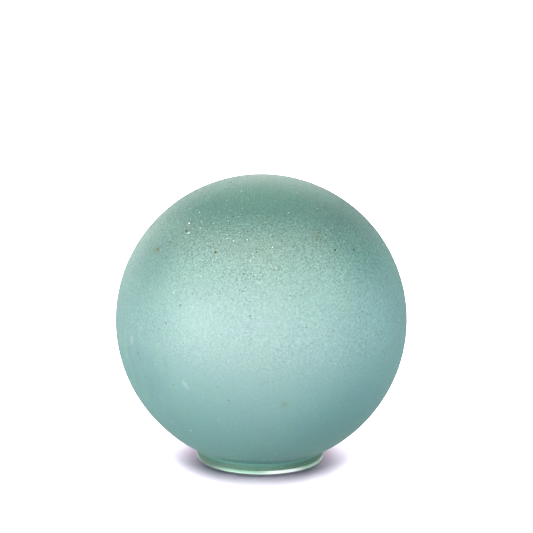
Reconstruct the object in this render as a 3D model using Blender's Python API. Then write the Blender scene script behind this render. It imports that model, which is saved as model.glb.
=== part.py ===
"""A blown glass orb: a hollow globe drawn in to a short open collar, which it stands on.

Metres, +Z up. The origin is the centre of the ground rim, on the surface that the orb stands on.
"""

import math

import bmesh
import bpy

# The globe
GLOBE_RADIUS = 0.100
WALL = 0.004

# The collar under the globe
COLLAR_RADIUS = 0.0438
COLLAR_LENGTH = 0.0066  # its straight part, below the neck's curve
NECK_FILLET = 0.0020  # radius of the hollow curve between globe and collar
RIM_ROUND = 0.0004  # polished rounding of the rim's two edges

# How finely the turned surfaces are cut into facets
SEGMENTS = 64
OUTSIDE_RINGS = (16, 11)  # above and below the equator
INSIDE_RINGS = (11, 8)
NECK_RINGS = 4
RIM_RINGS = 3

GLASS_COLOUR = (0.36, 0.62, 0.56, 1.0)
GLASS_ROUGHNESS = 0.5

# The neck's fillet lies outside the glass. It touches the globe and the collar, so its centre
# is one fillet radius away from both.
FILLET_R = COLLAR_RADIUS + NECK_FILLET
FILLET_DROP = math.sqrt((GLOBE_RADIUS + NECK_FILLET) ** 2 - FILLET_R**2)
GLOBE_CENTRE_Z = COLLAR_LENGTH + FILLET_DROP
NECK_ANGLE = math.pi - math.asin(FILLET_R / (GLOBE_RADIUS + NECK_FILLET))  # from the crown


def clear_scene():
    for thing in list(bpy.data.objects):
        bpy.data.objects.remove(thing)


def arc(centre_r, centre_z, radius, start, end, steps):
    """Points (r, z) on a circle. Angles are measured from +Z towards +R, both ends included."""
    points = []
    for i in range(steps + 1):
        angle = start + (end - start) * i / steps
        points.append((centre_r + radius * math.sin(angle), centre_z + radius * math.cos(angle)))
    return points


def globe_curve(inset, rings):
    """The globe's outline from the crown to the neck, set in from the outer surface by inset."""
    above, below = rings
    radius = GLOBE_RADIUS - inset
    upper = arc(0.0, GLOBE_CENTRE_Z, radius, 0.0, math.pi / 2, above)
    lower = arc(0.0, GLOBE_CENTRE_Z, radius, math.pi / 2, NECK_ANGLE, below)
    return upper + lower[1:]


def neck_curve(inset):
    """The neck's curve from the globe down to the collar, around the fillet's centre."""
    return arc(
        FILLET_R,
        COLLAR_LENGTH,
        NECK_FILLET + inset,
        NECK_ANGLE - math.pi,
        -math.pi / 2,
        NECK_RINGS,
    )


def rim_curve():
    """The two polished roundings of the rim, from the outer wall round to the inner wall."""
    outer = arc(COLLAR_RADIUS - RIM_ROUND, RIM_ROUND, RIM_ROUND, math.pi / 2, math.pi, RIM_RINGS)
    inner = arc(COLLAR_RADIUS - WALL + RIM_ROUND, RIM_ROUND, RIM_ROUND, math.pi, 1.5 * math.pi, RIM_RINGS)
    return outer + inner


def glass_outline():
    """The whole section of the glass: down the outside, round the rim and up the inside."""
    outside = globe_curve(0.0, OUTSIDE_RINGS) + neck_curve(0.0)[1:]
    inside = globe_curve(WALL, INSIDE_RINGS) + neck_curve(WALL)[1:]
    return outside + rim_curve() + inside[::-1]


def turned_solid(name, outline):
    """Turns an outline (r, z) about Z. Its two ends lie on the axis and become poles."""
    mesh = bpy.data.meshes.new(name)
    shape = bmesh.new()
    rings = []
    for r, z in outline[1:-1]:
        ring = []
        for k in range(SEGMENTS):
            turn = 2 * math.pi * k / SEGMENTS
            ring.append(shape.verts.new((r * math.cos(turn), r * math.sin(turn), z)))
        rings.append(ring)
    for upper, lower in zip(rings, rings[1:]):
        for k in range(SEGMENTS):
            after = (k + 1) % SEGMENTS
            shape.faces.new((upper[k], lower[k], lower[after], upper[after]))
    crown = shape.verts.new((0.0, 0.0, outline[0][1]))
    ceiling = shape.verts.new((0.0, 0.0, outline[-1][1]))
    for k in range(SEGMENTS):
        after = (k + 1) % SEGMENTS
        shape.faces.new((crown, rings[0][k], rings[0][after]))
        shape.faces.new((ceiling, rings[-1][after], rings[-1][k]))
    bmesh.ops.recalc_face_normals(shape, faces=shape.faces)
    shape.to_mesh(mesh)
    shape.free()
    thing = bpy.data.objects.new(name, mesh)
    bpy.context.scene.collection.objects.link(thing)
    return thing


def glass_material():
    glass = bpy.data.materials.new("frosted_aqua_glass")
    glass.use_nodes = True
    shader = glass.node_tree.nodes["Principled BSDF"]
    shader.inputs["Base Color"].default_value = GLASS_COLOUR
    shader.inputs["Roughness"].default_value = GLASS_ROUGHNESS
    shader.inputs["Metallic"].default_value = 0.0
    return glass


def make_orb():
    orb = turned_solid("glass_orb", glass_outline())
    orb.data.materials.append(glass_material())
    orb.data.shade_smooth()
    orb.data.set_sharp_from_angle(angle=math.radians(35))
    return orb


clear_scene()
make_orb()
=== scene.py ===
# %% [markdown]
# # A frosted glass orb
#
# The real thing is one piece of blown glass. The glassblower made a hollow globe and drew it in
# below to a short collar. The collar was cut off level, and its rim was ground flat and polished.
# Then acid or fine sand took the shine off the rest, so that the globe glows softly and only a
# thin band at the rim is still clear.
#
# The exact solid was modelled first, and it is the fixed frame of this scene. Everything below is
# measured from that frame, in metres, with +Z up and the orb standing on Z = 0.

# %% The fixed frame
import math

import bpy
from mathutils import Matrix, Vector


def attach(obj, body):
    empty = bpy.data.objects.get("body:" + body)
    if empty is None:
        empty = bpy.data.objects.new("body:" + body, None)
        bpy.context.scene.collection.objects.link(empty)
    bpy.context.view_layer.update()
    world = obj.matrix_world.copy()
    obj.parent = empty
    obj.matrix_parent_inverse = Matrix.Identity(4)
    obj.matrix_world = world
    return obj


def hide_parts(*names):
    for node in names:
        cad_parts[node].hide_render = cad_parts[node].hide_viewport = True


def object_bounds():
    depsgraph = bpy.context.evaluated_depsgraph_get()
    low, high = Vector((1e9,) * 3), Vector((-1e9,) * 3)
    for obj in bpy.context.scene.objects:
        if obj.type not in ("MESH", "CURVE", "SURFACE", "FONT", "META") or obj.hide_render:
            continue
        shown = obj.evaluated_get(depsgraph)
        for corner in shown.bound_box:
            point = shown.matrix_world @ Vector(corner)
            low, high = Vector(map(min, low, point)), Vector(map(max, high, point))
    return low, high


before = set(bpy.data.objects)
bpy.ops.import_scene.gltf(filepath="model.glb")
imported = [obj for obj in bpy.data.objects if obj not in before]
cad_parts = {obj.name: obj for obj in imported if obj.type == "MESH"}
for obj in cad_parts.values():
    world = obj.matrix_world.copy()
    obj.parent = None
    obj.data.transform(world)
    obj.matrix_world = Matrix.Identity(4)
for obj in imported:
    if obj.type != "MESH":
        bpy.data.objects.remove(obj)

cad_low, cad_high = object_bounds()
print("The solid measures", [round((b - a) * 1000, 1) for a, b in zip(cad_low, cad_high)], "mm")

# %% [markdown]
# ## The driving sizes
#
# The frame gives the overall size and the collar's width, so they are read from it and not typed
# again. What its box can't tell, such as the wall, is a named value. The hollow curve at the neck
# touches both the globe and the collar, and that fixes how high the globe's centre lies.

# %% Sizes
WALL = 0.004
COLLAR_LENGTH = 0.0066
NECK_FILLET = 0.0020
RIM_ROUND = 0.0004
BAND_HEIGHT = 0.0028
FLARE_HEIGHT = 0.0015
FLARE_SLOPE = math.radians(11)
LEDGE = 0.00012
EASE = 0.0001


def widest_below(node, height):
    """The largest distance from the axis of a node's points that lie lower than height."""
    low = [v.co for v in node.data.vertices if v.co.z < height]
    return max(co.xy.length for co in low)


GLOBE_RADIUS = (cad_high.x - cad_low.x) / 2
COLLAR_RADIUS = widest_below(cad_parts["glass_orb"], COLLAR_LENGTH / 2)
FILLET_R = COLLAR_RADIUS + NECK_FILLET
GLOBE_CENTRE_Z = COLLAR_LENGTH + math.sqrt((GLOBE_RADIUS + NECK_FILLET) ** 2 - FILLET_R**2)
GLOBE_CENTRE = Vector((0.0, 0.0, GLOBE_CENTRE_Z))
NECK_ANGLE = math.pi - math.asin(FILLET_R / (GLOBE_RADIUS + NECK_FILLET))
NECK_TOP = GLOBE_CENTRE_Z + GLOBE_RADIUS * math.cos(NECK_ANGLE)
print("Globe", round(GLOBE_RADIUS * 2000, 1), "mm across, collar", round(COLLAR_RADIUS * 2000, 1), "mm")
print("The collar's straight wall is", COLLAR_LENGTH * 1000, "mm tall")
print("The neck ends at a height of", round(NECK_TOP * 1000, 1), "mm")

# %% [markdown]
# ## The camera
#
# The photograph was taken with a long lens from a little above the orb's middle, so the ellipse of
# the rim is flat. The camera is first aimed at the globe's centre. Then it is turned a little, to
# put the globe below the middle of the picture, and rolled by the half degree that the photograph
# leans.

# %% The camera
IMAGE_SIDE = 533
SENSOR = 0.036
CAMERA_DISTANCE = 1.2
CAMERA_ELEVATION = math.radians(13.1)
CAMERA_ROLL = math.radians(0.6)
GLOBE_RADIUS_PIXELS = 145.8
GLOBE_RIGHT_PIXELS = -5.1
GLOBE_UP_PIXELS = -52.8


def make_camera():
    lens_data = bpy.data.cameras.new("camera")
    camera = bpy.data.objects.new("camera", lens_data)
    bpy.context.scene.collection.objects.link(camera)
    # The outline of a ball seen from near is a little larger than the ball's own radius
    spread = GLOBE_RADIUS / math.sqrt(CAMERA_DISTANCE**2 - GLOBE_RADIUS**2)
    pixels_per_slope = GLOBE_RADIUS_PIXELS / spread
    lens_data.sensor_width = SENSOR * 1000
    lens_data.lens = pixels_per_slope / IMAGE_SIDE * SENSOR * 1000
    back = Vector((0.0, -math.cos(CAMERA_ELEVATION), math.sin(CAMERA_ELEVATION)))
    offset = Matrix.Rotation(CAMERA_ROLL, 2) @ Vector((GLOBE_RIGHT_PIXELS, GLOBE_UP_PIXELS))
    turn = Matrix.Rotation(math.atan(offset.x / pixels_per_slope), 4, "Y")
    nod = Matrix.Rotation(-math.atan(offset.y / pixels_per_slope), 4, "X")
    roll = Matrix.Rotation(CAMERA_ROLL, 4, "Z")
    aim = back.to_track_quat("Z", "Y").to_matrix().to_4x4()
    place = Matrix.Translation(GLOBE_CENTRE + back * CAMERA_DISTANCE)
    camera.matrix_world = place @ aim @ turn @ nod @ roll
    bpy.context.scene.camera = camera
    return camera


camera = make_camera()
print("Lens", round(camera.data.lens, 1), "mm")

# %% [markdown]
# ## Writing node trees as arithmetic
#
# Geometry trees and shader trees are built from the same nodes. Sums in them read best as sums, so
# a small class wraps a socket and gives it Python's operators: each one adds a Math node. Every
# other node comes from one method, which takes the node's type, its settings and its inputs.

# %% A socket that can be added and multiplied
class Wire:
    """An output socket that arithmetic works on."""

    def __init__(self, graph, socket):
        self.graph = graph
        self.socket = socket

    def out(self, name):
        """Another output of the same node."""
        return Wire(self.graph, self.socket.node.outputs[name])

    def __add__(self, other):
        return self.graph.math("ADD", self, other)

    def __radd__(self, other):
        return self.graph.math("ADD", other, self)

    def __sub__(self, other):
        return self.graph.math("SUBTRACT", self, other)

    def __rsub__(self, other):
        return self.graph.math("SUBTRACT", other, self)

    def __mul__(self, other):
        return self.graph.math("MULTIPLY", self, other)

    def __rmul__(self, other):
        return self.graph.math("MULTIPLY", other, self)

    def __truediv__(self, other):
        return self.graph.math("DIVIDE", self, other)

    def __gt__(self, other):
        return self.graph.math("GREATER_THAN", self, other)

    def __lt__(self, other):
        return self.graph.math("LESS_THAN", self, other)


print("A wire knows the operators", [name for name in vars(Wire) if name.startswith("__")][2:])


# %% A node tree and the ways to add to it
class Graph:
    """One node tree, and the few ways in which nodes are added to it."""

    def __init__(self, tree):
        self.tree = tree

    def node(self, kind, settings=None, inputs=None, output=0):
        """Adds a node, sets it up, feeds its inputs with values or wires, and gives an output."""
        node = self.tree.nodes.new(kind)
        for name, value in (settings or {}).items():
            if name == "stops":
                self.set_stops(node.color_ramp, value)
            else:
                setattr(node, name, value)
        for name, value in (inputs or {}).items():
            for item in value if isinstance(value, list) else [value]:
                if isinstance(item, Wire):
                    self.tree.links.new(item.socket, node.inputs[name])
                else:
                    node.inputs[name].default_value = item
        return None if output is None else Wire(self, node.outputs[output])

    def set_stops(self, ramp, stops):
        """Gives a colour ramp its stops, each (position, colour), from low to high."""
        first, last = ramp.elements
        first.position, last.position = stops[0][0], stops[-1][0]
        for position, colour in stops[1:-1]:
            ramp.elements.new(position)
        for element, (position, colour) in zip(ramp.elements, stops):
            element.color = (*colour, 1.0)

    def math(self, operation, *values):
        return self.node("ShaderNodeMath", {"operation": operation}, dict(enumerate(values)))

    def vector(self, operation, a, b=None, output="Vector"):
        inputs = {0: a} if b is None else {0: a, 1: b}
        return self.node("ShaderNodeVectorMath", {"operation": operation}, inputs, output)

    def scaled(self, vector, factor):
        return self.node("ShaderNodeVectorMath", {"operation": "SCALE"}, {0: vector, "Scale": factor})

    def split(self, vector):
        x = self.node("ShaderNodeSeparateXYZ", None, {0: vector})
        return x, x.out("Y"), x.out("Z")

    def join(self, x, y, z):
        return self.node("ShaderNodeCombineXYZ", None, {0: x, 1: y, 2: z})

    def smooth(self, value, low, high):
        """0 below low, 1 above high and a smooth step between them."""
        ends = {"Value": value, "From Min": low, "From Max": high}
        return self.node("ShaderNodeMapRange", {"interpolation_type": "SMOOTHSTEP"}, ends)

    def noise(self, place, scale, detail=2.0, roughness=0.5):
        """Soft random values around 0.5, with scale bumps to a metre."""
        values = {"Vector": place, "Scale": scale, "Detail": detail, "Roughness": roughness}
        return self.node("ShaderNodeTexNoise", None, values)


print("A graph adds", [name for name in vars(Graph) if not name.startswith("__")])

# %% [markdown]
# ## The section of the glass
#
# A turned shape is known by its section, the line that a saw cut through the axis would show. It
# is drawn here from the crown down the outside, round the rim and up the inside, all in arcs and
# short straight lines. Each stretch says which finish it has: frosted outside, polished at the
# rim, and the smooth skin of the inside.
#
# The polished band is cut back a hair's breadth, which leaves a fine ledge above it. Its lower
# half flares out a little. That slope throws the light of the lamps in front towards the viewer,
# and draws the bright line at the foot of the glass, together with painted light and a painted
# highlight in the band's colour.

# %% Arcs
def arc(centre_r, centre_z, radius, start, end, steps):
    """Points (r, z) on a circle. Angles are measured from +Z towards the outside."""
    points = []
    for i in range(steps + 1):
        angle = start + (end - start) * i / steps
        points.append((centre_r + radius * math.sin(angle), centre_z + radius * math.cos(angle)))
    return points


def band_line(foot_r, foot_z):
    """The polished band from its ledge down to the rim's rounding, with a crisp bend in it."""
    slope = math.tan(FLARE_SLOPE)
    bend_r = foot_r - (FLARE_HEIGHT - foot_z) * slope
    straight = [(bend_r, BAND_HEIGHT), (bend_r, BAND_HEIGHT - EASE), (bend_r, FLARE_HEIGHT + EASE)]
    flared = [(bend_r + EASE * slope, FLARE_HEIGHT - EASE)]
    return straight + flared


print("An arc of one step is", arc(0.0, 0.0, 1.0, 0.0, math.pi / 2, 1))

# %% The section
FROSTED, POLISHED, SMOOTH = 0, 1, 2
GLOBE_STEPS = 150
INSIDE_STEPS = 64
FILLET_STEPS = 8
ROUND_STEPS = 6


def section_stretches():
    """The section as (finish, points), in order."""
    half, quarter = math.pi, math.pi / 2
    fillet = (NECK_ANGLE - half, -quarter)
    globe = arc(0.0, GLOBE_CENTRE_Z, GLOBE_RADIUS, 0.0, NECK_ANGLE, GLOBE_STEPS)
    neck = arc(FILLET_R, COLLAR_LENGTH, NECK_FILLET, *fillet, FILLET_STEPS)
    edge = (COLLAR_RADIUS, BAND_HEIGHT + LEDGE)
    round_r = COLLAR_RADIUS - RIM_ROUND
    outer_round = arc(round_r, RIM_ROUND, RIM_ROUND, quarter - FLARE_SLOPE, half, ROUND_STEPS)
    inner_r = COLLAR_RADIUS - WALL + RIM_ROUND
    inner_round = arc(inner_r, RIM_ROUND, RIM_ROUND, half, half + quarter, ROUND_STEPS)
    neck_inside = arc(FILLET_R, COLLAR_LENGTH, NECK_FILLET + WALL, *fillet, FILLET_STEPS)
    ceiling = arc(0.0, GLOBE_CENTRE_Z, GLOBE_RADIUS - WALL, 0.0, NECK_ANGLE, INSIDE_STEPS)
    return [
        (FROSTED, globe + neck[1:] + [edge]),
        (POLISHED, band_line(*outer_round[0]) + outer_round + inner_round),
        (SMOOTH, (ceiling + neck_inside[1:])[::-1]),
    ]


def draw_section():
    """A chain of points in the XZ plane. The attribute finish holds what follows each point."""
    points, finishes = [], []
    for finish, stretch in section_stretches():
        points += [(r, 0.0, z) for r, z in stretch]
        finishes += [finish] * len(stretch)
    mesh = bpy.data.meshes.new("section")
    mesh.from_pydata(points, [(i, i + 1) for i in range(len(points) - 1)], [])
    mesh.attributes.new("finish", "INT", "POINT").data.foreach_set("value", finishes)
    section = bpy.data.objects.new("glass_orb_body", mesh)
    bpy.context.scene.collection.objects.link(section)
    return section


body = draw_section()
print("The section has", len(body.data.vertices), "points")

# %% [markdown]
# ## Colours and patterns for the shaders
#
# These are the words in which the finishes are written: a ramp of colours along a value, a blend
# of two colours, small round spots at random, a soft round patch at a place on the globe, and a
# scuff along a short line. Places on the glass are given in degrees, round from the front and up
# from the equator, as one would point at them.

# %% Places on the globe
def on_globe(azimuth, elevation):
    """A point of a true globe, by degrees round from the camera and up from the equator."""
    turn, rise = math.radians(azimuth), math.radians(elevation)
    level = math.cos(rise)
    outwards = Vector((math.sin(turn) * level, -math.cos(turn) * level, math.sin(rise)))
    return GLOBE_CENTRE + outwards * GLOBE_RADIUS


print("Straight in front the glass is at", [round(v, 4) for v in on_globe(0, 0)])


# %% Shader words
class Shader(Graph):
    """The node tree of a Principled material, with words for colours and patterns."""

    def __init__(self, name, transmission, roughness):
        self.material = bpy.data.materials.new(name)
        self.material.use_nodes = True
        super().__init__(self.material.node_tree)
        self.sockets = self.tree.nodes["Principled BSDF"].inputs
        self.sockets["Transmission Weight"].default_value = transmission
        self.sockets["Roughness"].default_value = roughness
        self.place = self.node("ShaderNodeTexCoord", output="Object")

    def feed(self, name, wire):
        self.tree.links.new(wire.socket, self.sockets[name])

    def blend(self, factor, colour_a, colour_b, mode="MIX"):
        settings = {"data_type": "RGBA", "blend_type": mode}
        return self.node("ShaderNodeMix", settings, {0: factor, 6: colour_a, 7: colour_b}, 2)

    def shaded(self, colour, shade):
        """A colour made darker or lighter by a factor."""
        return self.blend(1.0, colour, self.join(shade, shade, shade), "MULTIPLY")

    def changed(self, colour, patch, change):
        """A colour that is multiplied by another one, the more the higher patch is."""
        return self.blend(patch, colour, self.blend(1.0, colour, (*change, 1.0), "MULTIPLY"))

    def ramp(self, value, stops):
        """A colour looked up by a value, from stops (value, colour) in rising order."""
        low, high = stops[0][0], stops[-1][0]
        settings = {"stops": [((at - low) / (high - low), colour) for at, colour in stops]}
        return self.node("ShaderNodeValToRGB", settings, {0: (value - low) / (high - low)})

    def spots(self, scale, size, share):
        """1 in the middle of small round spots, scale places to a metre, on a share of the places."""
        cells = self.node("ShaderNodeTexVoronoi", None, {"Vector": self.place, "Scale": scale})
        chance = self.split(cells.out("Color"))[0]
        return (1.0 - self.smooth(cells, 0.25 * size, size)) * (chance < share)

    def patch(self, azimuth, elevation, radius):
        """1 at a place on the globe, fading to 0 at a radius round it."""
        away = self.vector("DISTANCE", self.place, on_globe(azimuth, elevation), "Value")
        return 1.0 - self.smooth(away, 0.2 * radius, radius)

    def scuff(self, start, end, width):
        """1 along a straight line between two places on the globe, fading to 0 beside it."""
        a, b = on_globe(*start), on_globe(*end)
        along = self.vector("DOT_PRODUCT", self.vector("SUBTRACT", self.place, a), b - a, "Value")
        share = self.math("MINIMUM", self.math("MAXIMUM", along / (b - a).length_squared, 0.0), 1.0)
        nearest = self.vector("ADD", self.scaled(b - a, share), a)
        return 1.0 - self.smooth(self.vector("DISTANCE", self.place, nearest, "Value"), 0.0, width)


print("A shader adds", [name for name in vars(Shader) if not name.startswith("__")])

# %% [markdown]
# ## Frosted glass
#
# Frosted glass lets light through but scatters it, so it is a Principled shader with a good share
# of transmission and a high roughness, both plain values. Its colour isn't even. The glass is
# bluer below and greener towards the crown, and painted light and shade are mixed into that: it is
# lightest round the middle, darkest just below the crown, and deeper towards its sides, most on
# the right, with wide soft patches of painted light and shade. The collar is painted the darkest
# green, as in shade under the globe. Above it a faint pale line, a painted highlight, follows the
# neck and dips at the sides.
#
# Each trait of the colour has a short function of its own. It takes the colour so far, or the place
# on the glass, and gives the next one.

# %% The colour of the glass
HEIGHT_TINTS_AND_SHADE = [
    # height in metres, colour there: the glass's hue with painted light and shade, lightest round the
    # middle and darkest just below the crown
    (0.008, (0.19, 0.48, 0.46)),
    (0.045, (0.24, 0.46, 0.45)),
    (0.095, (0.335, 0.505, 0.490)),
    (0.120, (0.31, 0.48, 0.46)),
    (0.150, (0.310, 0.485, 0.430)),
    (0.162, (0.295, 0.445, 0.385)),
    (0.182, (0.150, 0.315, 0.265)),
    (0.194, (0.165, 0.390, 0.300)),
]
SIDE_TINTS_AND_SHADE = [
    # distance to the right of the axis, what the colour is multiplied by: painted shade that deepens the
    # colour towards the sides, most on the right
    (-0.095, (0.82, 0.98, 0.97)),
    (-0.050, (0.90, 0.95, 0.94)),
    (0.000, (0.93, 0.93, 0.93)),
    (0.050, (0.84, 0.955, 0.96)),
    (0.095, (0.70, 0.95, 1.00)),
]
STAINS_AND_CROWN_HIGHLIGHTS = [
    # azimuth, elevation, radius in mm, what the colour is multiplied by in the middle
    (9.4, -20.0, 4.0, (0.92, 0.86, 0.76)),
    (-56.5, 34.4, 3.6, (0.92, 0.74, 0.52)),
    (-22.1, 37.5, 4.0, (1.09, 1.04, 0.97)),
    (29.6, 44.0, 6.5, (0.97, 0.87, 0.79)),
    (-44.1, 46.5, 7.0, (1.10, 0.97, 0.97)),
    (-58.4, -0.3, 2.4, (1.35, 1.05, 1.10)),
    (-65.0, -7.0, 4.0, (0.96, 1.04, 0.86)),
    # the last three are painted highlights near the crown, for the pale line along the top edge
    (180.0, 86.5, 9.0, (1.6, 1.35, 1.45)),
    (119.0, 83.5, 8.0, (1.6, 1.35, 1.45)),
    (-119.0, 83.0, 6.0, (1.3, 1.2, 1.25)),
]
PAINTED_LIGHT_AND_SHADE = [
    # the same for wide soft areas of painted light and shade
    (54.0, 39.0, 42.0, (0.68, 0.82, 0.83)),
    (51.0, 8.0, 32.0, (1.10, 1.08, 1.09)),
    (-66.0, 50.0, 33.0, (1.19, 1.18, 1.19)),
    (-65.0, 6.0, 38.0, (1.09, 1.05, 1.05)),
    (-54.0, 31.0, 30.0, (0.83, 0.86, 0.88)),
    (40.0, -30.0, 50.0, (0.88, 0.93, 0.96)),
    (-51.0, -13.0, 30.0, (0.89, 0.91, 0.93)),
]


print(len(HEIGHT_TINTS_AND_SHADE), "heights,", len(STAINS_AND_CROWN_HIGHLIGHTS), "stains and", len(PAINTED_LIGHT_AND_SHADE), "broad shades")

# %% Clouds, streaks, stains and painted light
MOTTLE_SCALE = 70.0
MOTTLE_GREENER = (1.00, 1.005, 0.985, 1.0)
MOTTLE_BLUER = (1.00, 0.995, 1.015, 1.0)
STREAK_SCALE = 150.0
STREAK_STRETCH = 0.35
STREAK_STRENGTH = 0.4
STREAKS_END_Z = (0.080, 0.125)
STREAKS_END_X = (-0.080, -0.040)


def mottled(shader, tint):
    """Slight changes of hue, in soft clouds."""
    hue = shader.smooth(shader.noise(shader.place, MOTTLE_SCALE, 3.0), 0.35, 0.65)
    return shader.blend(1.0, tint, shader.blend(hue, MOTTLE_GREENER, MOTTLE_BLUER), "MULTIPLY")


def streaked(shader, tint):
    """Faint upright streaks, low on the left side."""
    x, y, z = shader.split(shader.place)
    streaks = shader.noise(shader.join(x, y, z * STREAK_STRETCH), STREAK_SCALE, 3.0)
    left_low = (1.0 - shader.smooth(z, *STREAKS_END_Z)) * (1.0 - shader.smooth(x, *STREAKS_END_X))
    return shader.shaded(tint, 1.0 + STREAK_STRENGTH * left_low * (streaks - 0.5))


def stains_and_painted_light(shader, tint, cloud):
    """The painted light and shade, which is smooth, and the stains and painted crown highlights, which
    the cloud breaks up.
    """
    for azimuth, elevation, radius, change in PAINTED_LIGHT_AND_SHADE:
        patch = shader.patch(azimuth, elevation, radius / 1000)
        tint = shader.changed(tint, patch, change)
    for azimuth, elevation, radius, change in STAINS_AND_CROWN_HIGHLIGHTS:
        patch = shader.patch(azimuth, elevation, radius / 1000)
        tint = shader.changed(tint, patch * (0.5 + cloud), change)
    return tint


print("The streaks end", STREAKS_END_Z[1] * 1000, "mm up")

# %% The collar and the end of the frosting
# The collar's dark colours are painted shade under the globe, darker on the right.
COLLAR_SHADED_LEFT = (0.060, 0.168, 0.123, 1.0)
COLLAR_SHADED_RIGHT = (0.043, 0.135, 0.094, 1.0)
COLLAR_TURNS_X = (0.0, 0.025)
CUT_LINE_HEIGHT = 0.0016
CUT_LINE_CHANGE = (1.1, 0.85, 0.75)
# A painted highlight: a pale line along the neck, stronger to the left.
NECK_HIGHLIGHT_RISE = 0.0006
NECK_HIGHLIGHT_LIFT = 0.0052
NECK_HIGHLIGHT_MIDDLE_X = -0.005
NECK_HIGHLIGHT_HALF_WIDTH = 0.043
NECK_HIGHLIGHT_FROM_TO = (0.0003, 0.0018)
NECK_HIGHLIGHT_FADES_X = (-0.040, 0.0)
NECK_HIGHLIGHT_COLOUR = (0.36, 0.62, 0.56, 1.0)


def shaded_collar_colour(shader, cloud):
    """Dark green with painted shade, deeper to the right, and browner along the ledge of the polished
    band.
    """
    x, z = shader.split(shader.place)[::2]
    collar = shader.blend(shader.smooth(x, *COLLAR_TURNS_X), COLLAR_SHADED_LEFT, COLLAR_SHADED_RIGHT)
    collar = shader.shaded(collar, 0.7 + 0.6 * cloud)
    cut_line = 1.0 - shader.smooth(z, BAND_HEIGHT, BAND_HEIGHT + CUT_LINE_HEIGHT)
    return shader.changed(collar, cut_line, CUT_LINE_CHANGE)


def neck_highlight(shader, cloud):
    """1 on the broken pale line of painted highlight along the neck, which is highest in front and at
    the back.
    """
    x, z = shader.split(shader.place)[::2]
    aside = (x - NECK_HIGHLIGHT_MIDDLE_X) / NECK_HIGHLIGHT_HALF_WIDTH
    lift = NECK_HIGHLIGHT_LIFT * shader.math("MAXIMUM", 1.0 - aside * aside, 0.0)
    off_line = shader.math("ABSOLUTE", z - (NECK_TOP + NECK_HIGHLIGHT_RISE) - lift)
    line = (1.0 - shader.smooth(off_line, *NECK_HIGHLIGHT_FROM_TO)) * shader.smooth(cloud, 0.35, 0.55)
    return line * (0.75 - 0.45 * shader.smooth(x, *NECK_HIGHLIGHT_FADES_X))


print("The pale line lies up to", (NECK_HIGHLIGHT_RISE + NECK_HIGHLIGHT_LIFT) * 1000, "mm above the neck")

# %% All of the glass's colour
CLOUD_SCALE = 260.0


def glass_colour(shader):
    """The colour of the glass with its painted light and shade, before its grain."""
    x, z = shader.split(shader.place)[::2]
    cloud = shader.noise(shader.place, CLOUD_SCALE, 2.0)
    tint = shader.ramp(z, HEIGHT_TINTS_AND_SHADE)
    tint = shader.blend(1.0, tint, shader.ramp(x, SIDE_TINTS_AND_SHADE), "MULTIPLY")
    tint = streaked(shader, mottled(shader, tint))
    tint = stains_and_painted_light(shader, tint, cloud)
    on_collar = 1.0 - shader.smooth(z, 0.9 * COLLAR_LENGTH, NECK_TOP)
    tint = shader.blend(on_collar, tint, shaded_collar_colour(shader, cloud))
    return shader.blend(neck_highlight(shader, cloud), tint, NECK_HIGHLIGHT_COLOUR)


print("The clouds have", CLOUD_SCALE, "bumps to a metre")

# %% [markdown]
# ## The grain of the frosting
#
# Seen close, the frosting is a leathery grain a millimetre or so across, with fine dark pits and
# a few bright points, which are painted highlights standing a little proud in the bump. It is
# strongest on the upper half and comes and goes in patches. The same pattern is the colour's and
# the bump's, because a pit is both darker and deeper. A few scuffs are paler lines.

# %% Frosted glass
GRAIN_FROM = (0.070, 0.110)
GRAIN_STRONG = (0.125, 0.160)
GRAIN_TO = (0.168, 0.187)
GRAIN_AT_NECK = (0.012, 0.040)
GRAIN_RIGHT_X = (-0.02, 0.06)
PATCH_SCALE = 32.0
GRAIN_SCALE = 820.0
WRINKLE_SCALE = 560.0
PITS = (560.0, 0.38, 0.28)  # how many places to a metre, how large, and on what share of them
# the bright points are painted highlights
SPARKS = (480.0, 0.30, 0.08)
SPARK_HIGHLIGHT_COLOUR = (0.75, 0.92, 0.87, 1.0)
SCUFF_COLOUR = (0.55, 0.74, 0.72, 1.0)
BUMP_STRENGTH = 0.5
BUMP_DEPTH = 0.0008
SCUFFS = [
    # where it starts and ends, in degrees, and its width in mm
    ((-58.5, -1.0), (-58.7, -2.7), 2.8),
    ((-65.2, -8.6), (-64.8, -9.8), 2.2),
    ((-30.8, -12.8), (-29.4, -15.2), 2.2),
]


def grain_strength(shader):
    """How strong the grain is at each place, from about 0.2 below the middle to over 1 above it."""
    x, z = shader.split(shader.place)[::2]
    lower = 0.50 + 0.50 * shader.smooth(z, *GRAIN_FROM) - 0.25 * shader.smooth(z, *GRAIN_AT_NECK)
    upper = 0.55 * shader.smooth(z, *GRAIN_STRONG) - 0.60 * shader.smooth(z, *GRAIN_TO)
    patches = shader.smooth(shader.noise(shader.place, PATCH_SCALE, 2.0), 0.35, 0.65)
    right = shader.smooth(x, *GRAIN_RIGHT_X)
    return (lower + upper) * (0.70 + 0.30 * patches + 0.25 * right)


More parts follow.
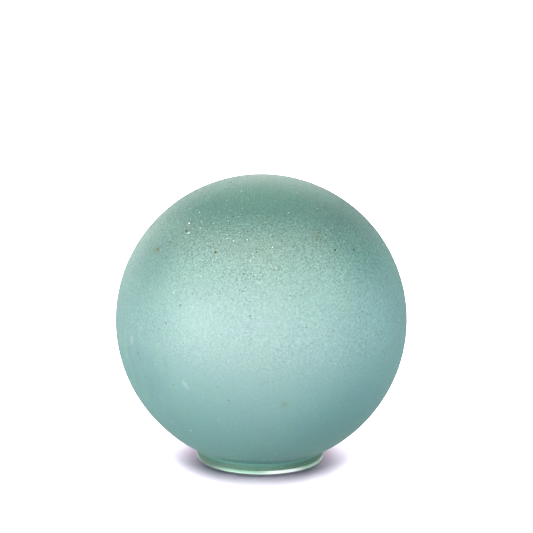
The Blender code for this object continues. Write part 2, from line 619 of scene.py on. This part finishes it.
def frosted_glass():
    shader = Shader("frosted_aqua_glass", 0.5, 0.5)
    strength = grain_strength(shader)
    grain = shader.noise(shader.place, GRAIN_SCALE, 2.0, 0.6)
    wrinkle = shader.math("ABSOLUTE", shader.noise(shader.place, WRINKLE_SCALE, 1.0) - 0.5)
    wrinkle = 1.0 - shader.smooth(wrinkle, 0.0, 0.05)
    pits = shader.spots(*PITS) * strength
    sparks = shader.spots(*SPARKS) * strength
    shade = 1.0 + ((grain - 0.5) * 1.8 + wrinkle * 0.13 - 0.03 - pits * 0.27) * strength
    colour = shader.shaded(glass_colour(shader), shade)
    # painted highlights at the bright points
    colour = shader.blend(sparks * 0.5, colour, SPARK_HIGHLIGHT_COLOUR)
    broken = 0.3 + 0.5 * shader.smooth(grain, 0.4, 0.6)
    for start, end, width in SCUFFS:
        scuff = shader.scuff(start, end, width / 1000)
        colour = shader.blend(scuff * broken, colour, SCUFF_COLOUR)
    relief = grain * strength + 0.2 * wrinkle * strength - 0.5 * pits + 0.3 * sparks
    bump = {"Strength": BUMP_STRENGTH, "Distance": BUMP_DEPTH, "Height": relief}
    shader.feed("Base Color", colour)
    shader.feed("Normal", shader.node("ShaderNodeBump", None, bump))
    return shader.material


FROSTED_GLASS = frosted_glass()
print("Frosted glass has", len(FROSTED_GLASS.node_tree.nodes), "nodes")

# %% [markdown]
# ## The polished rim and the inside
#
# The polished band is the same glass with a clear skin. Light that has run down inside the wall
# comes out here, and that light is painted into its pale, bright colour. Its upper half, which
# doesn't face the lamps, is painted greener with shade, and the band is painted dull with shade
# towards its left end. A painted highlight lies right of the front, and the foot is painted dark
# with shade. Slight waves from the polishing wheel vary its roughness. The inside was never
# frosted, so it is smoother and clearer than the outside.

# %% Polished and smooth glass
# The band's pale colours are painted light; the glint is a painted highlight and the foot a painted
# shade.
BAND_GLOW_DARKER = (0.42, 0.68, 0.54, 1.0)
BAND_GLOW_PALER = (0.66, 0.90, 0.78, 1.0)
UPPER_BAND_SHADE = (0.60, 0.72, 0.66)
BAND_FADES_LEFT_X = (-0.038, -0.018)
GLINT_COLOUR = (0.92, 1.0, 0.97, 1.0)
GLINT_AZIMUTH = math.radians(22)
GLINT_FROM_TO = (0.004, 0.020)
FOOT_SHADE_COLOUR = (0.05, 0.07, 0.075, 1.0)
FOOT_SHADE_FROM_TO = (0.0003, 0.0009)
INSIDE_DEEPER = (0.74, 0.92, 0.88, 1.0)
INSIDE_PALER = (0.84, 0.98, 0.95, 1.0)


def polished_glass():
    shader = Shader("polished_rim_glass", 0.5, 0.1)
    waves = shader.noise(shader.place, 140.0, 2.0)
    # painted light: the band's pale glow
    pale = shader.blend(waves, BAND_GLOW_DARKER, BAND_GLOW_PALER)
    x, height = shader.split(shader.place)[::2]
    # painted shade: the upper half greener and the left end dull
    upper_half = shader.smooth(height, FLARE_HEIGHT - EASE, FLARE_HEIGHT + EASE)
    pale = shader.changed(pale, upper_half, UPPER_BAND_SHADE)
    pale = shader.shaded(pale, 0.30 + 0.70 * shader.smooth(x, *BAND_FADES_LEFT_X))
    # a painted highlight right of the front
    glint = Vector((math.sin(GLINT_AZIMUTH), -math.cos(GLINT_AZIMUTH), 0.0)) * COLLAR_RADIUS
    off_glint = shader.vector("DISTANCE", shader.place, glint, "Value")
    pale = shader.blend(shader.smooth(off_glint, *GLINT_FROM_TO), GLINT_COLOUR, pale)
    # painted shade along the foot
    foot = shader.smooth(height, *FOOT_SHADE_FROM_TO)
    shader.feed("Base Color", shader.blend(foot, FOOT_SHADE_COLOUR, pale))
    shader.feed("Roughness", 0.06 + 0.1 * waves)
    return shader.material


def smooth_glass():
    shader = Shader("smooth_inner_glass", 1.0, 0.25)
    streaks = shader.noise(shader.place, 45.0, 2.0)
    shader.feed("Base Color", shader.blend(streaks, INSIDE_DEEPER, INSIDE_PALER))
    return shader.material


POLISHED_GLASS = polished_glass()
SMOOTH_GLASS = smooth_glass()
print("Three finishes of the same glass")

# %% [markdown]
# ## A lathe in Geometry Nodes
#
# Turning a section round an axis is a rule, so a node tree does it. It lays out a flat grid with a
# row for each point of the section and a column for each turn, and then bends the grid: a row
# looks up its point in the section, and its column says how far round the axis it goes. Merging
# the points that meet closes the seam and the two poles.
#
# Blown glass is never quite even, so the tree also adds a slow wave and a finer ripple along the
# surface's own direction. Both fade out at the collar, which was ground true.

# %% Words for geometry trees
class Shape(Graph):
    """A geometry tree with named inputs, each (name, socket type, default)."""

    def __init__(self, name, inputs):
        super().__init__(bpy.data.node_groups.new(name, "GeometryNodeTree"))
        interface = self.tree.interface
        interface.new_socket("Geometry", in_out="OUTPUT", socket_type="NodeSocketGeometry")
        for title, kind, default in [("Geometry", "Geometry", None)] + inputs:
            socket = interface.new_socket(title, in_out="INPUT", socket_type="NodeSocket" + kind)
            if default is not None:
                socket.default_value = default
        self.start = self.node("NodeGroupInput")

    def given(self, name):
        """One of the tree's own inputs."""
        return self.start.out(name)

    def store(self, geometry, name, kind, value, domain="POINT"):
        settings = {"data_type": kind, "domain": domain}
        return self.node("GeometryNodeStoreNamedAttribute", settings, {0: geometry, 2: name, 3: value})

    def named(self, name, kind):
        return self.node("GeometryNodeInputNamedAttribute", {"data_type": kind}, {0: name})

    def moved(self, geometry, position=None, offset=None):
        inputs = {0: geometry, 2: position} if offset is None else {0: geometry, 3: offset}
        return self.node("GeometryNodeSetPosition", None, inputs)

    def finish(self, geometry, materials):
        """Real faces, then their materials, each (selection, material), then the output."""
        geometry = self.node("GeometryNodeRealizeInstances", None, {0: geometry})
        for selection, material in materials:
            inputs = {0: geometry, 1: selection, 2: material}
            geometry = self.node("GeometryNodeSetMaterial", None, inputs)
        self.node("NodeGroupOutput", None, {0: geometry}, None)
        return self.tree


print("A shape adds", [name for name in vars(Shape) if not name.startswith("__")])

# %% The lathe tree
MERGE_DISTANCE = 0.00001
WAVE_SCALE = 16.0
RIPPLE_SCALE = 240.0
LATHE_INPUTS = [
    ("Segments", "Int", 384),
    ("Wave", "Float", 0.0002),
    ("Ripple", "Float", 0.00003),
    ("Collar Top", "Float", NECK_TOP),
    ("Frosted", "Material", None),
    ("Polished", "Material", None),
    ("Smooth", "Material", None),
]


def bent_grid(shape, section):
    """The flat grid, bent round the axis so that each row lies on its point of the section."""
    last_row = shape.node("GeometryNodeAttributeDomainSize", None, {0: section}) - 1
    sheet = {0: 2 * math.pi, 1: last_row, 2: shape.given("Segments") + 1, 3: last_row + 1}
    grid = shape.node("GeometryNodeMeshGrid", None, sheet)
    column, row = shape.split(shape.node("GeometryNodeInputPosition"))[:2]
    row = row + last_row / 2

    finish_of_row = {0: section, 1: shape.named("finish", "INT"), 2: shape.math("FLOOR", row)}
    as_number = {"data_type": "INT", "domain": "POINT"}
    finish_of_row = shape.node("GeometryNodeSampleIndex", as_number, finish_of_row)
    grid = shape.store(grid, "face_finish", "INT", finish_of_row, "FACE")

    point_of_row = {0: section, 1: shape.node("GeometryNodeInputPosition"), 2: shape.math("ROUND", row)}
    as_vector = {"data_type": "FLOAT_VECTOR", "domain": "POINT"}
    point_of_row = shape.node("GeometryNodeSampleIndex", as_vector, point_of_row)
    radius, height = shape.split(point_of_row)[::2]
    angle = 0 - column
    east, north = radius * shape.math("COSINE", angle), radius * shape.math("SINE", angle)
    bent = shape.moved(grid, position=shape.join(east, north, height))
    return shape.node("GeometryNodeMergeByDistance", None, {0: bent, 2: MERGE_DISTANCE})


def uneven(shape, glass):
    """Glass with a slow wave and a fine ripple outside, along the way out from its centre."""
    place = shape.node("GeometryNodeInputPosition")
    arm = shape.vector("SUBTRACT", place, GLOBE_CENTRE)
    outside = shape.vector("LENGTH", arm, output="Value") > GLOBE_RADIUS - WALL / 2
    collar_top = shape.given("Collar Top")
    above_collar = shape.smooth(shape.split(place)[2], collar_top, collar_top * 3)
    wave = shape.given("Wave") * (shape.noise(place, WAVE_SCALE, 1.0) - 0.5) * 2
    ripple = shape.given("Ripple") * (shape.noise(place, RIPPLE_SCALE, 2.0) - 0.5) * 2 * outside
    step = shape.scaled(shape.vector("NORMALIZE", arm), (wave + ripple) * above_collar)
    return shape.moved(glass, offset=step)


def lathe_tree():
    shape = Shape("lathe", LATHE_INPUTS)
    glass = uneven(shape, bent_grid(shape, shape.given("Geometry")))
    finish = shape.named("face_finish", "INT")
    materials = []
    for number, title in ((FROSTED, "Frosted"), (POLISHED, "Polished"), (SMOOTH, "Smooth")):
        materials.append((shape.math("COMPARE", finish, number, 0.5), shape.given(title)))
    return shape.finish(glass, materials)


LATHE = lathe_tree()
print("The lathe has", len(LATHE.nodes), "nodes")


# %% From a tree to a plain mesh
def make_with(thing, tree, values):
    """Runs a tree on an object, its inputs set by name, and keeps the result as a plain mesh."""
    modifier = thing.modifiers.new(tree.name, "NODES")
    modifier.node_group = tree
    for item in tree.interface.items_tree:
        if item.in_out == "INPUT" and item.name in values:
            modifier[item.identifier] = values[item.name]
    bpy.context.view_layer.update()
    depsgraph = bpy.context.evaluated_depsgraph_get()
    mesh = bpy.data.meshes.new_from_object(thing.evaluated_get(depsgraph), depsgraph=depsgraph)
    thing.modifiers.clear()
    thing.data = mesh
    print(thing.name, "has", sum(len(p.vertices) - 2 for p in mesh.polygons), "triangles")


# %% Turn the glass
make_with(body, LATHE, {"Frosted": FROSTED_GLASS, "Polished": POLISHED_GLASS, "Smooth": SMOOTH_GLASS})
body.data.shade_smooth()
body.data.set_sharp_from_angle(angle=math.radians(40))
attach(body, "root")
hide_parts("glass_orb")

# %% [markdown]
# ## Grit and seeds
#
# Old glass has marks in its skin: dark specks of grit from the furnace or from years outside, and
# pale seeds, which are tiny bubbles that the frosting has opened. They stand up a fraction of a
# millimetre, so they are real geometry. The larger ones are listed one by one where they show, and a
# ray towards the globe's centre finds the glass under each. The small ones are scattered.
#
# One tree makes both kinds. It joins the listed points with points spread over the frosted
# faces, puts a flattened ball of few faces on each, and turns it to lie on the glass.

# %% Marks listed one by one
DARK_MARKS = [
    # azimuth and elevation in degrees, width and length in mm, turn in degrees, tone from 0 to 1
    (-44.1, 44.7, 2.1, 2.4, 0, 0.0),
    (-22.1, 37.5, 2.2, 2.4, 0, 0.1),
    (-2.6, 38.4, 1.3, 1.3, 0, 0.3),
    (36.3, 37.7, 2.4, 1.7, 30, 0.0),
    (47.9, 36.5, 1.6, 2.2, 0, 0.0),
    (-32.7, 15.9, 1.4, 1.4, 0, 0.1),
    (28.4, 45.8, 0.9, 0.9, 0, 0.3),
    (29.7, 43.9, 1.0, 0.9, 0, 0.5),
    (31.0, 42.9, 0.9, 1.0, 0, 0.2),
    (28.5, 42.7, 1.1, 0.9, 0, 0.2),
    (30.2, 41.9, 1.0, 0.8, 0, 0.4),
    (29.2, 31.8, 0.9, 0.9, 0, 0.3),
    (41.6, 13.3, 1.1, 1.1, 0, 0.8),
    (-56.5, 34.4, 2.0, 2.6, 0, 1.0),
]
PALE_MARKS = [
    (-41.8, 44.2, 1.4, 2.4, -30, 0.7),
    (-46.0, 48.4, 2.0, 1.6, 0, 0.7),
    (-36.1, 47.0, 1.1, 1.1, 0, 0.8),
    (-44.9, 54.2, 1.5, 1.2, 20, 0.2),
    (-38.5, 50.1, 1.1, 1.1, 0, 0.1),
    (-35.3, -37.3, 1.3, 1.0, 0, 0.4),
    (-18.2, 43.6, 1.2, 1.0, 0, 0.3),
    (-14.6, 42.9, 1.1, 1.1, 0, 0.6),
    (5.0, 40.5, 1.2, 1.0, 0, 0.9),
    (-25.8, 27.6, 1.9, 0.8, 0, 0.5),
    (-20.6, 24.6, 1.1, 1.1, 0, 0.6),
    (-27.3, 15.8, 1.2, 1.1, 0, 0.7),
    (-5.1, 34.7, 1.1, 1.1, 0, 0.8),
    (-3.9, 36.3, 1.0, 1.0, 0, 0.7),
    (33.5, 17.6, 1.2, 1.2, 0, 0.3),
    (-37.2, 20.2, 1.3, 2.4, 0, 0.3),
]


def placed_marks(name, marks, height):
    """A mesh of points on the glass, each with its size, its turn, its tone and its way outwards."""
    spots, sizes, turns, tones, ways = [], [], [], [], []
    for azimuth, elevation, width, length, turn, tone in marks:
        outwards = (on_globe(azimuth, elevation) - GLOBE_CENTRE).normalized()
        hit = body.ray_cast(GLOBE_CENTRE + outwards * 2 * GLOBE_RADIUS, -outwards)
        spots.append(hit[1])
        sizes += [width / 1000, length / 1000, height]
        turns.append(math.radians(turn))
        tones.append(tone)
        ways += list(outwards)
    mesh = bpy.data.meshes.new(name)
    mesh.from_pydata(spots, [], [])
    mesh.attributes.new("size", "FLOAT_VECTOR", "POINT").data.foreach_set("vector", sizes)
    mesh.attributes.new("turn", "FLOAT", "POINT").data.foreach_set("value", turns)
    mesh.attributes.new("tone", "FLOAT", "POINT").data.foreach_set("value", tones)
    mesh.attributes.new("way", "FLOAT_VECTOR", "POINT").data.foreach_set("vector", ways)
    thing = bpy.data.objects.new(name, mesh)
    bpy.context.scene.collection.objects.link(thing)
    return thing


print(len(DARK_MARKS), "dark and", len(PALE_MARKS), "pale marks are placed by hand")

# %% The tree of grains
GRAIN_INPUTS = [
    ("Body", "Object", None),
    ("Glass", "Material", None),
    ("Density", "Float", 1000.0),
    ("Seed", "Int", 1),
    ("Smallest", "Float", 0.0004),
    ("Largest", "Float", 0.0009),
    ("Height", "Float", 0.0002),
    ("Material", "Material", None),
]


def scattered(shape):
    """Points over the frosted faces, more of them on the upper half, with the marks' attributes."""
    surface = shape.node("GeometryNodeObjectInfo", None, {0: shape.given("Body")}, "Geometry")
    frosted = shape.node("GeometryNodeMaterialSelection", None, {0: shape.given("Glass")})
    height = shape.split(shape.node("GeometryNodeInputPosition"))[2]
    density = shape.given("Density") * (0.25 + 0.75 * shape.smooth(height, *GRAIN_FROM))
    seed = shape.given("Seed")
    spread = {0: surface, 1: frosted, "Density": density, "Seed": seed}
    points = shape.node("GeometryNodeDistributePointsOnFaces", None, spread)
    way = points.out("Normal")

    def chance(low, high, step):
        return shape.node("FunctionNodeRandomValue", None, {2: low, 3: high, 8: seed + step}, 1)

    width = chance(shape.given("Smallest"), shape.given("Largest"), 1)
    size = shape.join(width, width * chance(0.9, 1.5, 2), shape.given("Height"))
    points = shape.store(points, "size", "FLOAT_VECTOR", size)
    points = shape.store(points, "turn", "FLOAT", chance(0.0, math.pi, 3))
    points = shape.store(points, "tone", "FLOAT", chance(0.0, 1.0, 4) * chance(0.0, 1.0, 5))
    return shape.store(points, "way", "FLOAT_VECTOR", way)


def lying_on_glass(shape):
    """The rotation that points a grain's Z outwards and its Y upwards, and then turns it by its turn."""
    outwards = {2: shape.named("way", "FLOAT_VECTOR")}
    turned = shape.node("FunctionNodeAlignRotationToVector", {"axis": "Z"}, outwards)
    level = {"axis": "Y", "pivot_axis": "Z"}
    turned = shape.node("FunctionNodeAlignRotationToVector", level, {0: turned, 2: (0.0, 0.0, 1.0)})
    twist = {"Axis": (0.0, 0.0, 1.0), "Angle": shape.named("turn", "FLOAT")}
    twist = shape.node("FunctionNodeAxisAngleToRotation", None, twist)
    return shape.node("FunctionNodeRotateRotation", {"rotation_space": "LOCAL"}, {0: turned, 1: twist})


def grains_tree():
    shape = Shape("grains", GRAIN_INPUTS)
    by_hand = shape.node("GeometryNodeMeshToPoints", None, {0: shape.given("Geometry")})
    points = shape.node("GeometryNodeJoinGeometry", None, {0: [scattered(shape), by_hand]})
    ball = shape.node("GeometryNodeMeshIcoSphere", None, {"Radius": 0.5, "Subdivisions": 1})
    ball = shape.node("GeometryNodeSetShadeSmooth", None, {0: ball})
    put = {"Points": points, "Instance": ball, "Rotation": lying_on_glass(shape)}
    put["Scale"] = shape.named("size", "FLOAT_VECTOR")
    grains = shape.node("GeometryNodeInstanceOnPoints", None, put)
    return shape.finish(grains, [(True, shape.given("Material"))])


GRAINS = grains_tree()
print("The grains tree has", len(GRAINS.nodes), "nodes")

# %% [markdown]
# ## The colours of grit and seeds
#
# Each mark carries its own tone, a number from 0 to 1 that the tree stored on its points. Grit
# goes from dark green to rust with it, and seeds from the glass's own pale green to white. A
# little noise keeps each mark from being one flat colour.

# %% Grit and seed materials
def toned_material(name, roughness, colour_low, colour_high):
    shader = Shader(name, 0.0, roughness)
    tone = shader.node("ShaderNodeAttribute", {"attribute_name": "tone"}, None, "Fac")
    colour = shader.blend(tone, colour_low, colour_high)
    shader.feed("Base Color", shader.shaded(colour, 0.8 + 0.4 * shader.noise(shader.place, 900.0)))
    return shader.material


DARK_GRIT = toned_material("dark_grit", 0.6, (0.035, 0.075, 0.055, 1.0), (0.22, 0.155, 0.07, 1.0))
PALE_SEEDS = toned_material("pale_seeds", 0.4, (0.34, 0.53, 0.47, 1.0), (0.68, 0.78, 0.73, 1.0))
print("Two materials read the tone of each mark")


# %% Put the marks on the glass
def add_marks(name, marks, material, height, values):
    thing = placed_marks(name, marks, height)
    shared = {"Body": body, "Glass": FROSTED_GLASS, "Height": height, "Material": material}
    make_with(thing, GRAINS, {**shared, **values})
    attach(thing, "root")
    return thing


grit_values = {"Density": 1300.0, "Smallest": 0.0005, "Largest": 0.0010, "Seed": 11}
seed_values = {"Density": 6000.0, "Smallest": 0.0004, "Largest": 0.0009, "Seed": 5}
dark_grit = add_marks("dark_grit", DARK_MARKS, DARK_GRIT, 0.00030, grit_values)
pale_seeds = add_marks("pale_seeds", PALE_MARKS, PALE_SEEDS, 0.00025, seed_values)

# %% [markdown]
# ## The floor
#
# The orb stands on plain white paper. The paper is lit by its own lamps, so that it can be bright
# enough to be pure white around the soft shadow. It isn't seen by the glass, because a real
# photographer would keep the paper's glare out of the glass with black cards. Along the front of
# the rim the paper is given a thin darker crescent, a painted contact shadow. Round the rim it is
# also a little more purple, to balance the green light that comes through the glass.

# %% The floor
FLOOR_SIDE = 60.0
FLOOR_COLOUR = (0.88, 0.80, 0.91, 1.0)
PAPER_BY_RIM = (0.88, 0.68, 0.86, 1.0)
BY_RIM_FROM_TO = (0.043, 0.060)
# a painted contact shadow along the front of the rim
CONTACT_SHADOW_COLOUR = (0.46, 0.33, 0.46, 1.0)
CONTACT_SHADOW_CENTRE = (0.0, -0.006, 0.0)
CONTACT_SHADOW_FROM_TO = (0.0395, 0.0445)


def make_floor():
    half = FLOOR_SIDE / 2
    corners = [(-half, -half, 0.0), (half, -half, 0.0), (half, half, 0.0), (-half, half, 0.0)]
    mesh = bpy.data.meshes.new("floor")
    mesh.from_pydata(corners, [], [(0, 1, 2, 3)])
    floor = bpy.data.objects.new("floor", mesh)
    bpy.context.scene.collection.objects.link(floor)
    paper = Shader("pale_paper", 0.0, 0.9)
    # the painted contact shadow
    from_contact = paper.vector("DISTANCE", paper.place, CONTACT_SHADOW_CENTRE, "Value")
    open_paper = paper.smooth(from_contact, *CONTACT_SHADOW_FROM_TO)
    from_axis = paper.vector("LENGTH", paper.place, output="Value")
    colour = paper.blend(paper.smooth(from_axis, *BY_RIM_FROM_TO), PAPER_BY_RIM, FLOOR_COLOUR)
    paper.feed("Base Color", paper.blend(open_paper, CONTACT_SHADOW_COLOUR, colour))
    paper.sockets["Specular IOR Level"].default_value = 0.0
    mesh.materials.append(paper.material)
    floor.visible_diffuse = False
    floor.visible_glossy = False
    floor.visible_transmission = False
    return floor


floor = make_floor()
print("The floor is", FLOOR_SIDE, "m wide")

# %% [markdown]
# ## The light
#
# The sheen on frosted glass is a blurred picture of the lamps, so the lamps are placed by it: a
# ring of softboxes, all but one in front and brightest to the left, with a few high ones that lift
# the shoulder and draw the pale line along the top edge. Even pale light from all round, which
# only the gloss sees, keeps the edges from going dull. A narrow strip on the right brightens the
# rim. Three wide suns from above, two of them behind, make the soft shadow, which reaches further
# to the front.

# %% Softboxes
def around(azimuth, distance, height):
    """A place at an azimuth in degrees, 0 towards the camera and 90 to its right."""
    angle = math.radians(azimuth)
    return Vector((math.sin(angle) * distance, -math.cos(angle) * distance, height))


def add_lamp(name, data, place, target, *lit):
    """A lamp at a place, aimed at a target, whose light falls on some things alone."""
    lamp = bpy.data.objects.new(name, data)
    bpy.context.scene.collection.objects.link(lamp)
    turn = (place - target).to_track_quat("Z", "Y").to_matrix().to_4x4()
    lamp.matrix_world = Matrix.Translation(place) @ turn
    group = bpy.data.collections.new("lit_by_" + name)
    for thing in lit:
        group.objects.link(thing)
    lamp.light_linking.receiver_collection = group
    return lamp


def make_softbox(name, place, width, height, power):
    data = bpy.data.lights.new(name, "AREA")
    data.shape = "RECTANGLE"
    data.size = width
    data.size_y = height
    data.energy = power
    return add_lamp(name, data, place, GLOBE_CENTRE, body, dark_grit, pale_seeds)


RING_DISTANCE, RING_HEIGHT = 1.3, 0.28
RING_BOX = (0.7, 0.5)
RING = {-150: 2.0, -52: 19.5, -26: 6.3, 0: 7.3, 26: 2.5, 52: 3.8}  # watts by azimuth
HIGH_DISTANCE, HIGH_HEIGHT = 1.2, 0.75
HIGH_BOX = (0.9, 0.6)
HIGH = {0: 5.8, 60: 6.5, 180: 5.3}
STRIP_AZIMUTH, STRIP_HEIGHT = 38, 0.2
STRIP_BOX = (0.8, 0.12)
STRIP_POWER = 4.5

for azimuth, power in RING.items():
    make_softbox(f"ring_{azimuth}", around(azimuth, RING_DISTANCE, RING_HEIGHT), *RING_BOX, power)
for azimuth, power in HIGH.items():
    make_softbox(f"high_{azimuth}", around(azimuth, HIGH_DISTANCE, HIGH_HEIGHT), *HIGH_BOX, power)
strip_place = around(STRIP_AZIMUTH, RING_DISTANCE, STRIP_HEIGHT)
make_softbox("rim_strip", strip_place, *STRIP_BOX, STRIP_POWER)
print(len(RING) + len(HIGH) + 1, "softboxes")

# %% Sky and shadow
SKY_STRENGTH = 1.1
SKY_COLOUR = (0.84, 1.0, 0.95, 1.0)
SUN_WIDTH = 50
SUNS = [
    # azimuth, elevation, strength
    (-2, 68, 8.1),
    (128, 55, 7.3),
    (-132, 55, 8.0),
]


def make_sky():
    """Pale light from all round that shows in gloss only."""
    world = bpy.data.worlds.new("studio")
    world.use_nodes = True
    background = world.node_tree.nodes["Background"].inputs
    background["Color"].default_value = SKY_COLOUR
    background["Strength"].default_value = SKY_STRENGTH
    bpy.context.scene.world = world
    world.cycles_visibility.diffuse = False
    world.cycles_visibility.transmission = False


def make_sun(azimuth, elevation, strength):
    name = f"shadow_sun_{azimuth}"
    data = bpy.data.lights.new(name, "SUN")
    data.angle = math.radians(SUN_WIDTH)
    data.energy = strength
    rise = math.radians(elevation)
    return add_lamp(name, data, around(azimuth, math.cos(rise), math.sin(rise)), Vector(), floor)


make_sky()
for sun in SUNS:
    make_sun(*sun)
bpy.context.scene.view_settings.view_transform = "Standard"
print("The sky and", len(SUNS), "suns are in place")

# %% [markdown]
